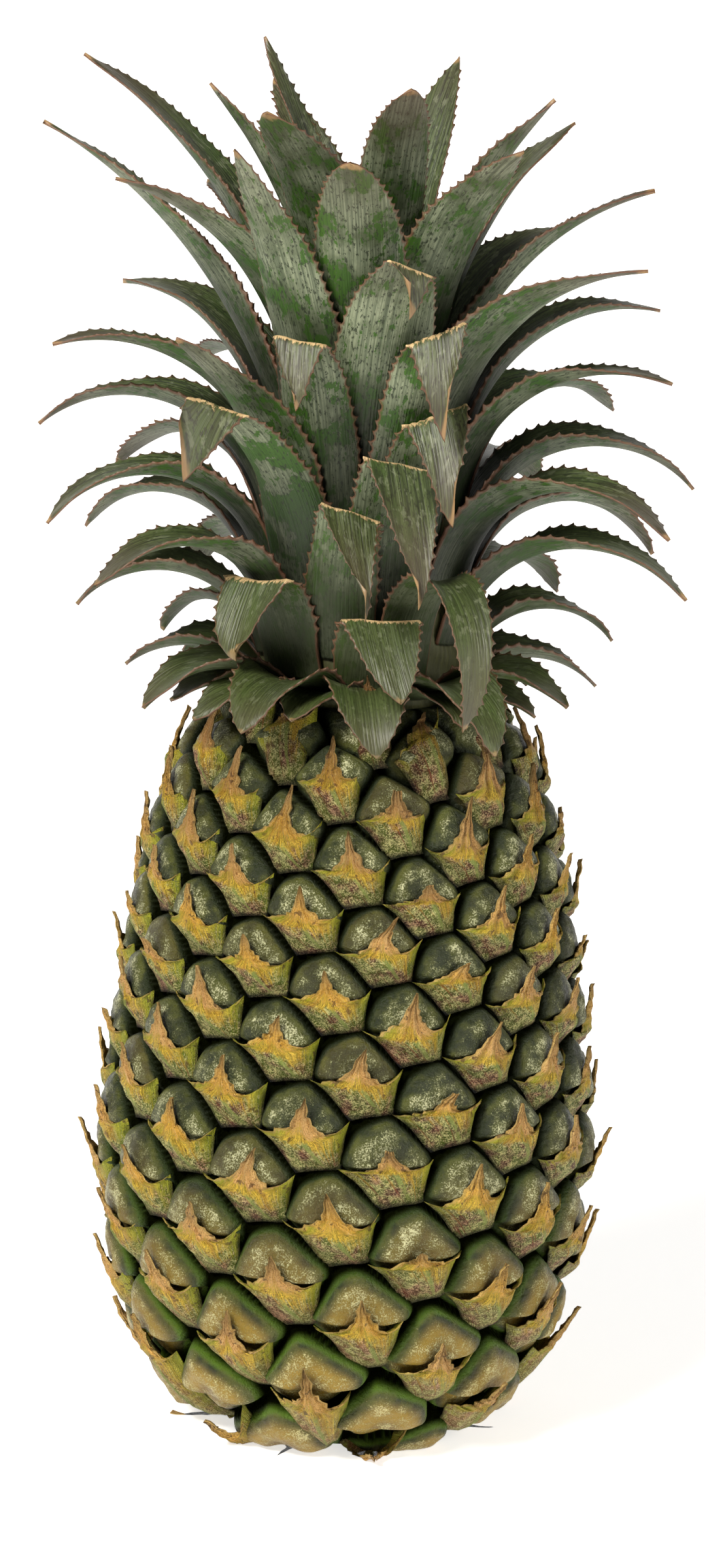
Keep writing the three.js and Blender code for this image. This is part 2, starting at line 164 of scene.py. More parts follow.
class Graph:
    # short ways to add and join shader nodes in one tree
    def __init__(self, tree):
        self.tree = tree

    def node(self, kind, inputs=None, **settings):
        node = self.tree.nodes.new("ShaderNode" + kind)
        for key, value in settings.items():
            setattr(node, key, value)
        for key, value in (inputs or {}).items():
            self.feed(node.inputs[key], value)
        return node

    def feed(self, socket, value):
        if isinstance(value, bpy.types.NodeSocket):
            self.tree.links.new(value, socket)
        elif isinstance(value, (tuple, list)) and len(value) == 3 and socket.type == "RGBA":
            socket.default_value = (*value, 1)
        else:
            socket.default_value = value

    def math(self, operation, a, b=0.0, clamp=False):
        return self.node("Math", {0: a, 1: b}, operation=operation, use_clamp=clamp).outputs[0]

    def plus(self, a, b):
        return self.math("ADD", a, b)

    def times(self, a, b):
        return self.math("MULTIPLY", a, b)

    def ramp(self, value, low, high, to=(0.0, 1.0)):
        inputs = {"Value": value, "From Min": low, "From Max": high, "To Min": to[0], "To Max": to[1]}
        return self.node("MapRange", inputs, interpolation_type="SMOOTHSTEP").outputs[0]

    def swing(self, value, reach):
        # a noise, which stays about a half, as a swing to both sides of zero
        return self.times(self.math("SUBTRACT", value, 0.5), reach)

    def level(self, share, a, b):
        return self.blend(share, (a,) * 3, (b,) * 3)

    def blend(self, share, a, b):
        node = self.node("Mix", data_type="RGBA")
        for index, value in ((0, share), (6, a), (7, b)):
            self.feed(node.inputs[index], value)
        return node.outputs[2]

    def noise(self, place, scale, detail=3.0, rough=0.55, stretch=None):
        if stretch:
            place = self.node("Mapping", {"Vector": place, "Scale": stretch}).outputs[0]
        inputs = {"Vector": place, "Scale": scale, "Detail": detail, "Roughness": rough}
        return self.node("TexNoise", inputs).outputs["Fac"]

    def value(self, name, out="Fac"):
        return self.node("Attribute", attribute_name=name).outputs[out]

    def parts(self, vector):
        return self.node("SeparateXYZ", {0: vector}).outputs


def colour(text):
    # a colour as it looks on screen, such as "8a7f5c", as the linear triple that shaders take
    values = [int(text[i:i + 2], 16) / 255 for i in (0, 2, 4)]
    return tuple(v / 12.92 if v <= 0.04045 else ((v + 0.055) / 1.055) ** 2.4 for v in values)


def newGroup(name, inputs, outputs):
    # a shader node group whose sockets are given as {name: (kind, default)} and {name: kind}
    tree = bpy.data.node_groups.new(name, "ShaderNodeTree")
    for key, (kind, default) in inputs.items():
        socket = tree.interface.new_socket(key, in_out="INPUT", socket_type="NodeSocket" + kind)
        if default is not None:
            socket.default_value = (*default, 1) if kind == "Color" else default
    for key, kind in outputs.items():
        tree.interface.new_socket(key, in_out="OUTPUT", socket_type="NodeSocket" + kind)
    graph = Graph(tree)
    entry = tree.nodes.new("NodeGroupInput")
    leave = tree.nodes.new("NodeGroupOutput")
    return tree, graph, entry.outputs, leave.inputs


def placeGroup(graph, tree, inputs):
    node = graph.tree.nodes.new("ShaderNodeGroup")
    node.node_tree = tree
    for key, value in inputs.items():
        graph.feed(node.inputs[key], value)
    return node.outputs


# Speckle: the pale grains of dried wax that lie on the rind, over a darker ground
def makeSpeckle():
    inputs = {
        "Place": ("Vector", None), "Scale": ("Float", 1.0), "Amount": ("Float", 0.5),
        "Ground": ("Color", (0.1, 0.1, 0.05)), "Grain": ("Color", (0.5, 0.5, 0.4)),
    }
    tree, g, entry, leave = newGroup("speckle", inputs, {"Color": "Color", "Grains": "Float"})
    place = g.node("VectorMath", {0: entry["Place"], "Scale": entry["Scale"]}, operation="SCALE").outputs[0]
    fine = g.noise(place, 1500.0, 2.0, 0.7)
    coarse = g.noise(place, 330.0, 3.0, 0.6)
    mixed = g.plus(g.times(fine, 0.7), g.times(coarse, 0.3))
    edge = g.math("SUBTRACT", 0.72, g.times(entry["Amount"], 0.42))
    grains = g.ramp(mixed, g.math("SUBTRACT", edge, 0.07), g.plus(edge, 0.07))
    g.feed(leave["Color"], g.blend(grains, entry["Ground"], entry["Grain"]))
    g.feed(leave["Grains"], grains)
    return tree


# Fibres: lines along the piece, from a place whose y runs along it in millimetres
def makeFibres():
    inputs = {"Place": ("Vector", None), "Spacing": ("Float", 1.0), "Length": ("Float", 20.0)}
    tree, g, entry, leave = newGroup("fibres", inputs, {"Lines": "Float", "Patches": "Float"})
    across = g.math("DIVIDE", 1.0, entry["Spacing"])
    along = g.math("DIVIDE", 1.0, entry["Length"])
    stretch = g.node("CombineXYZ", {0: across, 1: along, 2: 1.0}).outputs[0]
    place = g.node("VectorMath", {0: entry["Place"], 1: stretch}, operation="MULTIPLY").outputs[0]
    g.feed(leave["Lines"], g.noise(place, 1.0, 2.0, 0.6))
    g.feed(leave["Patches"], g.noise(place, 0.35, 3.0, 0.65))
    return tree


speckleGroup = makeSpeckle()
fibreGroup = makeFibres()


# Outline and eyes of the fruit, from the same few dimensions as its solid

fruit = {
    "height": 1000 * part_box("fruit")[1].z,
    "bellyRadius": 60.5,
    "firstEye": -5,
    "firstEyeS": 2.2,
    "eyePhase": 65.3,
    "eyeAreaLow": 575,
    "eyeAreaHigh": 288,
    "lastLargeEye": 118,
    "outline": [
        [0.47, 0], [0.61, 0.012], [0.74, 0.055], [0.875, 0.135], [0.962, 0.25], [1, 0.39], [0.965, 0.51],
        [0.92, 0.63], [0.87, 0.74], [0.79, 0.85], [0.68, 0.94], [0.56, 0.985], [0.42, 1],
    ],
}
outlineKnots = np.array(fruit["outline"]) * (fruit["bellyRadius"], fruit["height"])
outlinePoints = through(outlineKnots, np.linspace(0, 1, 481))
outlineS = np.concatenate([[0], np.cumsum(np.hypot(*np.diff(outlinePoints, axis=0).T))])
outlineLength = outlineS[-1]
outlineTurn = np.gradient(outlinePoints, outlineS, axis=0)


def onOutline(s):
    # radius, height and outward normal at distance s along the outline
    values = [np.interp(s, outlineS, column) for column in (*outlinePoints.T, *outlineTurn.T)]
    return values[0], values[1], values[3], -values[2]


def eyePitch():
    # how far up the outline each eye stands: each one takes its own area of the surface
    places = []
    s = fruit["firstEyeS"]
    while s < outlineLength - 1:
        n = fruit["firstEye"] + len(places)
        places.append(s)
        large = max(0, 1 - n / fruit["lastLargeEye"]) ** 1.6
        s += mix(fruit["eyeAreaHigh"], fruit["eyeAreaLow"], large) / (2 * math.pi * onOutline(s)[0])
    return np.array(places)


eyeS = eyePitch()
eyeCount = len(eyeS)
eyeTurn = math.radians(fruit["eyePhase"]) - (fruit["firstEye"] + np.arange(eyeCount)) * goldenTurn
eyeScale = np.sqrt((eyeS[np.minimum(np.arange(eyeCount) + 8, eyeCount - 1)]
                    - eyeS[np.maximum(np.arange(eyeCount) - 8, 0)]) / 14)


def wrapTurn(turn):
    return turn - 2 * math.pi * np.round(turn / (2 * math.pi))


def onFruit(azimuth, s, out):
    # a point at distance out from the outline. Past the top rim it goes on upwards
    over = np.maximum(s - (outlineLength - 9), 0)
    r, z, outR, outZ = onOutline(np.minimum(s, outlineLength - 9))
    lean = ease(over / 3)
    reach = r + mix(outR, 0.97, lean) * out - 0.12 * over
    height = np.maximum(z + mix(outZ, 0.24, lean) * out + 0.97 * over, 0)
    return turned(reach, height, azimuth)


# Rind: one closed skin that rises in a dome at each eye and sinks in the grooves between them

rind = {
    "columns": 520,
    "rows": 186,
    "groove": 4.0,
    "rimWidth": 3.0,
    "corner": 0.9,
    "dome": 1.9,
    "navel": 0.75,  # how far the middle of the dome sinks, as a share of its height
    "navelRadius": 3.2,
    "ripple": 0.22,
    "underBract": 2.6,
    "socketRadius": 13.4,
    "socketDepth": 8.4,
    "footRing": 21,
    "topRings": (18, 9),
}


def eyeField(azimuth, s):
    # for each point: the distance to its eye's border, its place in the eye, and which eye it is
    r = onOutline(s)[0]
    across = wrapTurn(azimuth[:, None] - eyeTurn) * r[:, None]
    up = s[:, None] - eyeS
    far = across ** 2 + up ** 2
    near = np.argpartition(far, 5, axis=1)[:, :5]
    near = np.take_along_axis(near, np.argsort(np.take_along_axis(far, near, 1), axis=1), 1)
    x, y, d = (np.take_along_axis(a, near, 1) for a in (across, up, far))
    apart = np.hypot(x[:, 1:] - x[:, :1], y[:, 1:] - y[:, :1])
    border = (d[:, 1:] - d[:, :1]) / (2 * apart)
    soft = rind["corner"]
    border = -soft * np.log(np.exp(-border / soft).sum(1))
    return border, x[:, 0], y[:, 0], near[:, 0]


def makeRind(finish):
    # each point lies on the outline and moves out along its normal by the relief of its eye
    azimuth = np.arange(rind["columns"]) * 2 * math.pi / rind["columns"]
    s = np.linspace(0, outlineLength, rind["rows"])
    A, S = (a.ravel() for a in np.meshgrid(azimuth, s))
    border, x, y, eye = (np.concatenate(part) for part in zip(*(
        eyeField(A[i:i + 20000], S[i:i + 20000]) for i in range(0, len(A), 20000))))
    scale = eyeScale[eye]
    rimUp = 1 - (1 - np.clip((border + 0.4) / (rind["rimWidth"] * scale), 0, 1)) ** 2.4
    navel = np.exp(-(np.hypot(x, y) / (rind["navelRadius"] * scale)) ** 2)
    groove = rind["groove"] * (rimUp - 1)
    dome = rind["dome"] * (ease(border / (7 * scale)) - rind["navel"] * navel)
    out = scale * (groove + dome)
    out += rind["ripple"] * wave(x * 1.1 + 9 * chance(eye, 3), y * 1.2, eye % 7) * rimUp
    out -= rind["underBract"] * scale * ease((-0.4 - y / scale) / 1.6)
    edge = ease(S / 3) * ease((outlineLength - S) / 4)
    r, z, outR, outZ = onOutline(S)
    out = out * edge
    height = np.clip(z + outZ * out, 0.0, fruit["height"])
    points = turned(r + outR * out, height, A)

    # the base goes in to the stalk's socket and up it, and the top closes flat under the crown
    depth, wide = rind["socketDepth"], rind["socketRadius"]
    inside = [(wide * 0.4, depth), (wide, depth), (wide, depth * 0.5), (wide, 0.6), (wide + 2, 0),
              (rind["footRing"], 0)]
    over = [(radius, fruit["height"]) for radius in rind["topRings"]]
    before = np.concatenate([turned(*ring, azimuth) for ring in inside])
    after = np.concatenate([turned(*ring, azimuth) for ring in over])
    points = np.concatenate([before, points, after, [[0, 0, depth], [0, 0, fruit["height"]]]])
    pad = lambda a, fill: np.concatenate([np.full(len(before), fill), a, np.zeros(len(after)), [fill, 0.0]])

    quads, triangles = ringFaces(len(inside) + rind["rows"] + len(over), rind["columns"])
    values = {
        "eyeBorder": pad(border / scale, 3.0),
        "eyePlace": np.stack([pad(x / scale, 0.0), pad(y / scale, 0.0), pad(eye.astype(float), 0.0)], 1),
        "height": pad(S / outlineLength, -0.1),
    }
    return addMesh("rind", points, quads, finish, values, triangles)


def rindFinish():
    material, tree, shader = newFinish("rind")
    g = Graph(tree)
    place = g.node("TexCoord").outputs["Object"]
    border = g.value("eyeBorder")
    inEye = g.parts(g.value("eyePlace", "Vector"))
    height = g.value("height")
    own = g.node("TexWhiteNoise", {"W": inEye[2]}, noise_dimensions="1D").outputs["Value"]
    low = g.ramp(height, 0.5, 0.12)
    patch = g.noise(place, 190.0, 3.0)
    ground = g.blend(g.ramp(patch, 0.35, 0.65), colour("1c2408"), colour("484c18"))
    ground = g.blend(g.times(low, g.ramp(border, 1.6, 4.0)), ground, colour("92761e"))
    ground = g.blend(g.times(g.ramp(own, 0.6, 1.0), 0.35), ground, colour("5e4e20"))
    middle = g.times(low, g.ramp(border, 5.0, 6.5, (0.0, 0.6)))
    ground = g.blend(middle, ground, colour("5c4426"))
    grain = g.blend(g.ramp(patch, 0.35, 0.65), colour("7e8258"), colour("c0c096"))
    amount = g.plus(g.ramp(border, 0.8, 3.2, (-0.1, 0.38)), g.swing(patch, 0.9))
    grain = g.blend(g.times(low, 0.7), grain, colour("c8ba78"))
    spots = placeGroup(g, speckleGroup, {
        "Place": place, "Scale": 1.9, "Amount": amount, "Ground": ground, "Grain": grain})
    rim = g.ramp(g.plus(border, g.swing(patch, 0.8)), 0.9, 1.7)
    rimColour = g.blend(low, colour("1c2608"), colour("547410"))
    skin = g.blend(rim, rimColour, spots["Color"])
    # painted shade: the groove between the eyes is painted near black for the shade that falls into it, and
    # clear of it the rind keeps its colour
    clearOfGrooveShade = g.ramp(border, 0.3, 1.45)
    skin = g.blend(clearOfGrooveShade, colour("080a02"), skin)
    under = g.ramp(height, -0.02, 0.0)
    skin = g.blend(under, g.blend(patch, colour("5a4424"), colour("a98c5c")), skin)
    wrinkle = g.noise(place, 900.0, 4.0, 0.7)
    g.feed(shader.inputs["Specular IOR Level"], g.times(clearOfGrooveShade, 0.4))
    relief = g.plus(g.times(wrinkle, 2.4), g.times(patch, 1.2))
    relief = g.plus(relief, g.times(spots["Grains"], 0.5))
    dress(g, shader, skin, g.level(g.ramp(wrinkle, 0.35, 0.65), 0.3, 0.55), relief, 0.0006, 0.9)
    return material


settle(makeRind(rindFinish()), "rind", "fruit")
print("rind done:", eyeCount, "eyes")


# Bracts: the pointed scale over the lower half of each eye

bract = {
    "bodyRows": 6,
    "spikeRows": 17,
    "columns": 15,
    "thickness": 0.4,
    "pleat": 0.3,
    "keel": 0.5,
    "crumple": 0.4,
    "broken": 0.13,  # the share of spikes that are broken off
    "brokenLength": 0.5,
    "dryHeight": 14,
    "oldFrom": 150,  # from here up they grow darker and longer
    "oldOver": 45,
    "oldLonger": 0.35,
    "lowest": 8,
    "lowestLength": 0.7,
    "spikeLength": 7.8,
    "inset": 1.0,
    "leftDraw": (0.45, 0.55),
    "rightDraw": (-0.35, 0.15),
    # the lip from its wing tips in to the spike and up it: shares of the half width and of the spike's length
    "left": [
        [-1.08, 0.08], [-0.82, -0.02], [-0.55, 0.01], [-0.34, 0.13], [-0.18, 0.36], [-0.09, 0.64], [0, 1],
    ],
    "mid": [[0.14, -0.3], [0.12, -0.2], [0.09, -0.07], [0.05, 0.13], [0.02, 0.4], [0, 0.68], [0, 1]],
    "right": [
        [1.02, 0.28], [0.84, 0.05], [0.58, -0.05], [0.34, 0.11], [0.18, 0.35], [0.09, 0.64], [0, 1],
    ],
    "edgeOut": [-0.5, 0.6, 1.1, 1.4, 1.6, 1.9, 2.2],
    "midOut": [1.5, 1.6, 1.7, 1.9, 2.1, 2.3, 2.4],
}


def eyeCorners(steps):
    # where three eyes meet, from the middle of the first: millimetres across and up
    n = np.arange(eyeCount)
    around = sum(wrapTurn(-d * goldenTurn) for d in steps) / 3
    at = n[:, None] + np.array(steps)
    s = eyeS[np.clip(at, 0, eyeCount - 1)].mean(1)
    s = np.where(at.min(1) < 0, 0, np.where(at.max(1) >= eyeCount, outlineLength, s))
    return np.stack([around * onOutline(eyeS)[0], s - eyeS], 1)


def makeBracts(name, eyes, finish):
    # each row of a bract runs from its left edge over its middle to its right edge. The low rows span the
    # diamond between four corners of the eye, the high ones follow the lip in and up the spike
    n = eyes
    size = eyeScale[n]
    radius = onOutline(eyeS[n])[0]
    right, lowRight, bottom, left = (eyeCorners(c)[n] * bract["inset"] for c in
                                     ((-8, 0, 13), (-21, -8, 0), (-21, -13, 0), (-13, 0, 8)))
    right = mix(right, lowRight, 0.2)
    half = (right[:, 0] - left[:, 0]) / 2
    centre = (right + left) / 2
    age = np.clip((eyeS[n] - bract["oldFrom"]) / bract["oldOver"], 0, 1)
    broken = chance(n, 2) < bract["broken"]
    length = bract["spikeLength"] * size * mix(0.85, 1.2, chance(n, 1))
    length = length * np.where(broken, bract["brokenLength"], 1) * (1 + bract["oldLonger"] * age)
    length = np.where(eyeS[n] < bract["lowest"], length * bract["lowestLength"], length)
    length = length * mix(1, 0.5, ease((eyeS[n] - outlineLength + 27) / 14))
    bend = (chance(n, 4) - 0.42) * 3.4 + np.where(chance(n, 5) > 0.86, 5.0 * (chance(n, 6) - 0.3), 0)
    lift = np.where(chance(n, 7) > 0.6, 1.6, 0.4) + 2.0 * chance(n, 8) ** 2

    upU = np.linspace(0, 1, bract["spikeRows"] + 1)
    lip = {}
    for side in ("left", "mid", "right"):
        curve = through(bract[side], upU)
        x = curve[None, :, 0] * half[:, None]
        y = curve[None, :, 1] * length[:, None]
        rise = np.clip(curve[None, :, 1], 0, 1)
        x = x + bend[:, None] * rise ** 1.6
        tilt = {"left": left, "mid": centre, "right": right}[side][:, 1] - centre[:, 1]
        y = y + tilt[:, None] * np.clip(np.abs(curve[None, :, 0]), 0, 1) ** 2
        y = y + size[:, None] * 0.6 * wave(x * 0.8, 0 * x, n[:, None] % 11) * (rise[0] < 0.5)
        lip[side] = np.stack([centre[:, :1] + x, centre[:, 1:] + y], -1)
    for side, way, kind in (("left", -1, 9), ("right", 1, 10)):
        jag = chance(n[:, None] * 31 + np.arange(len(upU)), kind) - 0.4
        jag = jag * ease((upU - 0.05) / 0.15) * (1 - upU ** 6)
        lip[side][..., 0] += way * 0.8 * jag * size[:, None]
        lip[side][..., 1] += 0.7 * jag * size[:, None]
    tipSpread = np.where(broken, 0.9, 0.12)[:, None] * upU[None] ** 3
    lip["left"][..., 0] -= tipSpread
    lip["right"][..., 0] += tipSpread
    ragged = np.where(broken, 1.2, 0)[:, None] * (chance(n[:, None] * 5 + 1, 11) - 0.5) * upU[None] ** 8
    lip["left"][..., 1] += ragged

    # below the lip both edges draw in a little, and the keel runs down to the lower right corner
    bodyU = (np.arange(bract["bodyRows"]) / bract["bodyRows"])[None, :, None]
    foot = {"left": bottom, "mid": mix(bottom, lowRight, 0.72), "right": lowRight}
    inwards = np.sin(math.pi * bodyU ** 1.3) * size[:, None, None]
    draw = {"left": bract["leftDraw"], "mid": (0, 0), "right": bract["rightDraw"]}
    rows = {}
    for side in lip:
        body = mix(foot[side][:, None], lip[side][:, :1], bodyU) + inwards * draw[side]
        rows[side] = np.concatenate([body, lip[side]], 1)
    edgeOut = np.interp(upU * 6, np.arange(7), bract["edgeOut"])
    midOut = np.interp(upU * 6, np.arange(7), bract["midOut"])
    bodyShare = bodyU[0, :, 0]
    edgeOut = np.concatenate([mix(-2.9, edgeOut[0], bodyShare ** 2), edgeOut])
    midOut = np.concatenate([mix(-2.6, midOut[0], ease(bodyShare) ** 0.6), midOut])
    share = np.concatenate([bodyShare * 0.3, mix(0.3, 1, upU)])

    a = np.linspace(-1, 1, bract["columns"])
    a = np.sign(a) * np.abs(a) ** 0.9
    strong = np.abs(a)[None, None, :, None]
    end = np.where(a[None, None, :, None] < 0, rows["left"][:, :, None], rows["right"][:, :, None])
    middle = rows["mid"][:, :, None]
    power = mix(1.0, 1.9, 1 - ease((share - 0.3) / 0.4))[None, :, None]
    flat = np.empty((len(n), len(share), len(a), 2))
    flat[..., 0] = mix(middle[..., 0], end[..., 0], strong[..., 0])
    flat[..., 1] = mix(middle[..., 1], end[..., 1], strong[..., 0] ** power)
    spikeShare = np.clip((share - 0.5) / 0.5, 0, 1)[None, :, None]
    out = mix(midOut[None, :, None], edgeOut[None, :, None], strong[..., 0] ** mix(2.4, 1.2, spikeShare))
    out = out * size[:, None, None] + lift[:, None, None] * spikeShare ** 1.7
    keel = np.exp(-(a / 0.12) ** 2)[None, None, :] * ease((share - 0.02) / 0.2)[None, :, None]
    out += bract["keel"] * keel * (1 - spikeShare)
    pleat = np.sin(10 * a[None, None, :] + 5 * share[None, :, None] + 6 * chance(n, 14)[:, None, None])
    out += bract["pleat"] * size[:, None, None] * pleat * ease(share / 0.3)[None, :, None]
    curl = (chance(n, 12) - 0.3)[:, None, None] * strong[..., 0] ** 2 * spikeShare * 1.2
    crumple = wave(flat[..., 0] * 1.6, flat[..., 1] * 1.1, n[:, None, None] % 9)
    out += curl + bract["crumple"] * crumple * ease(share / 0.2)[None, :, None]
    out = np.where(eyeS[n][:, None, None] < 6, np.minimum(out, 2.0), out)

    azimuth = eyeTurn[n][:, None, None] + flat[..., 0] / radius[:, None, None]
    s = eyeS[n][:, None, None] + flat[..., 1]
    upper = onFruit(azimuth, s, out)
    thick = bract["thickness"] * mix(1.0, 0.6, share)[None, :, None]
    under = onFruit(azimuth, s, out - thick)
    points = np.stack([upper, under], 1)
    starts = np.arange(len(n)) * 2 * len(share) * len(a)
    quads = (sheetFaces(len(share), len(a))[None] + starts[:, None, None]).reshape(-1, 4)
    shape = (len(n), 2, len(share), len(a))
    perEye = lambda value: value[:, None, None, None]
    onFaces = lambda *parts: np.stack([np.broadcast_to(part, shape).ravel() for part in parts], 1)
    dry = np.clip(1 - eyeS[n] / bract["dryHeight"], 0, 1)
    values = {
        "bractPlace": onFaces(flat[:, None, ..., 0], flat[:, None, ..., 1], perEye(n * 7.0)),
        "bractShare": onFaces(a, share[:, None], perEye(chance(n, 13))),
        "bractAge": onFaces(perEye(dry), perEye(age), perEye(eyeS[n] / outlineLength)),
    }
    return addMesh(name, points.reshape(-1, 3), quads, finish, values)


def bractFinish():
    material, tree, shader = newFinish("bract")
    g = Graph(tree)
    place = g.node("TexCoord").outputs["Object"]
    share = g.value("bractShare", "Vector")
    across, up, own = (g.parts(share)[i] for i in range(3))
    dry, age, height = (g.parts(g.value("bractAge", "Vector"))[i] for i in range(3))
    side = g.math("ABSOLUTE", across)
    patch = g.noise(place, 230.0, 3.0)
    spots = g.noise(place, 420.0, 3.0, 0.65)

    # fibres fan out from the spike, because they follow the shares across and up the bract
    fan = g.node("CombineXYZ", {0: g.times(across, 9.0), 1: g.times(up, 3.0),
                                2: g.times(own, 60.0)}).outputs[0]
    lines = placeGroup(g, fibreGroup, {"Place": fan, "Spacing": 0.5, "Length": 2.2})
    grit = g.noise(place, 2600.0, 2.0, 0.7)
    threads = placeGroup(g, fibreGroup, {"Place": fan, "Spacing": 0.2, "Length": 0.9})
    streaks = g.plus(g.times(threads["Lines"], 0.6), g.times(grit, 0.4))

    # body: dark olive and mauve brown with pale grains, greener on the right of the keel
    ground = g.blend(g.ramp(patch, 0.42, 0.62), colour("4e5a10"), colour("4c2816"))
    ground = g.blend(g.ramp(across, 0.3, 0.95, (0.0, 0.8)), ground, colour("5f7612"))
    ground = g.blend(g.ramp(height, 0.45, 0.1, (0.0, 0.45)), ground, colour("a07838"))
    grain = g.blend(g.ramp(patch, 0.45, 0.7), colour("cec884"), colour("cca07a"))
    amount = g.plus(0.5, g.swing(spots, 0.6))
    body = placeGroup(g, speckleGroup, {
        "Place": place, "Scale": 1.9, "Amount": amount, "Ground": ground, "Grain": grain})
    skin = g.blend(g.ramp(lines["Lines"], 0.6, 0.68, (0.0, 0.8)), body["Color"], colour("7a2f1c"))
    keel = g.times(g.ramp(side, 0.1, 0.03), g.ramp(up, 0.02, 0.1, (0.0, 0.75)))
    skin = g.blend(keel, skin, colour("8f9c4a"))

    # lip and wings: ochre to yellow green, wider on the right of the keel, running down in streaks
    warm = g.blend(g.ramp(streaks, 0.35, 0.65), colour("847010"), colour("f8d048"))
    warm = g.blend(g.ramp(lines["Patches"], 0.45, 0.6, (0.0, 0.4)), warm, colour("a86a14"))
    wing = g.blend(streaks, colour("5c7408"), colour("c4c830"))
    warm = g.blend(g.ramp(side, 0.4, 0.9, (0.0, 0.85)), warm, wing)
    reach = g.plus(up, g.swing(lines["Lines"], 0.4))
    reach = g.plus(reach, g.swing(spots, 0.45))
    reach = g.plus(reach, g.ramp(across, 0.0, 0.2, (-0.08, 0.05)))
    reach = g.plus(reach, g.ramp(side, 0.5, 1.0, (0.0, 0.07)))
    lipShare = g.ramp(reach, 0.15, 0.36)
    skin = g.blend(g.times(lipShare, g.ramp(height, 0.0, 0.25, (0.6, 0.95))), skin, warm)

    # spike: orange to tan, streaked with red brown, with a painted highlight along its edges, darker round
    # the crown
    spikeColour = g.blend(g.ramp(own, 0.2, 0.7), colour("ffc450"), colour("f8c078"))
    spikeColour = g.blend(g.ramp(up, 0.7, 0.95, (0.0, 0.7)), spikeColour, colour("dcb478"))
    spikeColour = g.blend(g.ramp(streaks, 0.52, 0.57, (0.0, 0.85)), spikeColour, colour("8a4416"))
    spikeColour = g.blend(g.ramp(streaks, 0.46, 0.38, (0.0, 0.7)), spikeColour, colour("ffe4a8"))
    skin = g.blend(g.ramp(reach, 0.42, 0.66, (0.0, 0.85)), skin, spikeColour)
    # painted highlight: a thin pale line along the lip and spike edges, for light catching them
    edgeHighlight = g.times(g.ramp(side, 0.8, 1.0), g.ramp(up, 0.3, 0.36, (0.0, 0.7)))
    skin = g.blend(edgeHighlight, skin, colour("e0bc70"))
    aged = g.blend(g.ramp(lines["Lines"], 0.4, 0.65), colour("3c1a12"), colour("7a4a28"))
    skin = g.blend(g.times(age, g.ramp(up, 0.3, 0.7, (0.1, 0.6))), skin, aged)
    dryColour = g.blend(lines["Lines"], colour("6e4a26"), colour("d8b078"))
    skin = g.blend(dry, skin, dryColour)
    brown = g.ramp(spots, 0.6, 0.66, (0.0, 0.7))
    skin = g.blend(brown, skin, colour("4a2c1a"))

    # dark along the groove below and at both sides
    sideShade = g.times(g.ramp(side, 0.88, 1.0), g.ramp(up, 0.27, 0.2, (0.0, 0.6)))
    shade = g.math("ADD", g.ramp(up, 0.06, 0.0, (0.0, 0.8)), sideShade, True)
    skin = g.blend(shade, skin, colour("0c0e03"))
    relief = g.plus(g.times(streaks, 2.0), g.times(body["Grains"], 0.4))
    dress(g, shader, skin, g.level(lipShare, 0.6, 0.5), g.plus(relief, spots), 0.001, 1.0)
    shader.inputs["Specular IOR Level"].default_value = 0.3
    return material


bractLook = bractFinish()
splitEye = eyeCount // 2
settle(makeBracts("bracts_low", np.arange(splitEye), bractLook), "rind", "fruit")
settle(makeBracts("bracts_high", np.arange(splitEye, eyeCount), bractLook), "rind", "fruit")
print("bracts done")


# Crown leaves: the same spiral, lengths and folds as their solids, with fine teeth

crown = {
    "count": 57,
    "phase": 15,
    "foot": 6.2,
    "rise": 1.43,
    "stemRadius": 24.5,
    "clearance": 0.4,
    "thickness": (0.9, 0.4),  # on each side of the middle line, at the root and at the tip
    "ripple": 0.75,
    "foldStretch": 0.04,
    "foldLate": 0.035,
    "foldWaver": 0.009,
    "foldFlat": 0.8,
    "foldReach": (0.09, 0.2),  # how far before and after its fold a leaf is flattened
    "columns": [-1, -0.94, -0.8, -0.55, -0.28, 0, 0.28, 0.55, 0.8, 0.94, 1],
    "toothSpacing": 2.3,
    "toothReach": 1.25,
    "wider": 1.1,
    "tuck": 0.1,  # how far it goes on below its root, as a share of its length
    "stemOutline": [[1, 0], [1, 0.42], [0.92, 0.6], [0.76, 0.76], [0.54, 0.9], [0.3, 0.98]],
}
stemFoot = fruit["height"] + crown["clearance"]
stemHeight = crown["foot"] + crown["rise"] * crown["count"] - 2

# how the leaves change from the lowest one to the heart: length, width, lean at the root, turn at the tip,
# and how late they bend
habit = np.array([
    [40, 17, 30, 150, 1], [54, 20, 22, 148, 1], [63, 23, 19, 142, 1], [67, 25, 17, 134, 1],
    [70, 26, 16, 112, 1.1], [73, 25, 16, 84, 1.2], [78, 22, 14, 66, 1.2], [72, 15, 9, 30, 1],
])
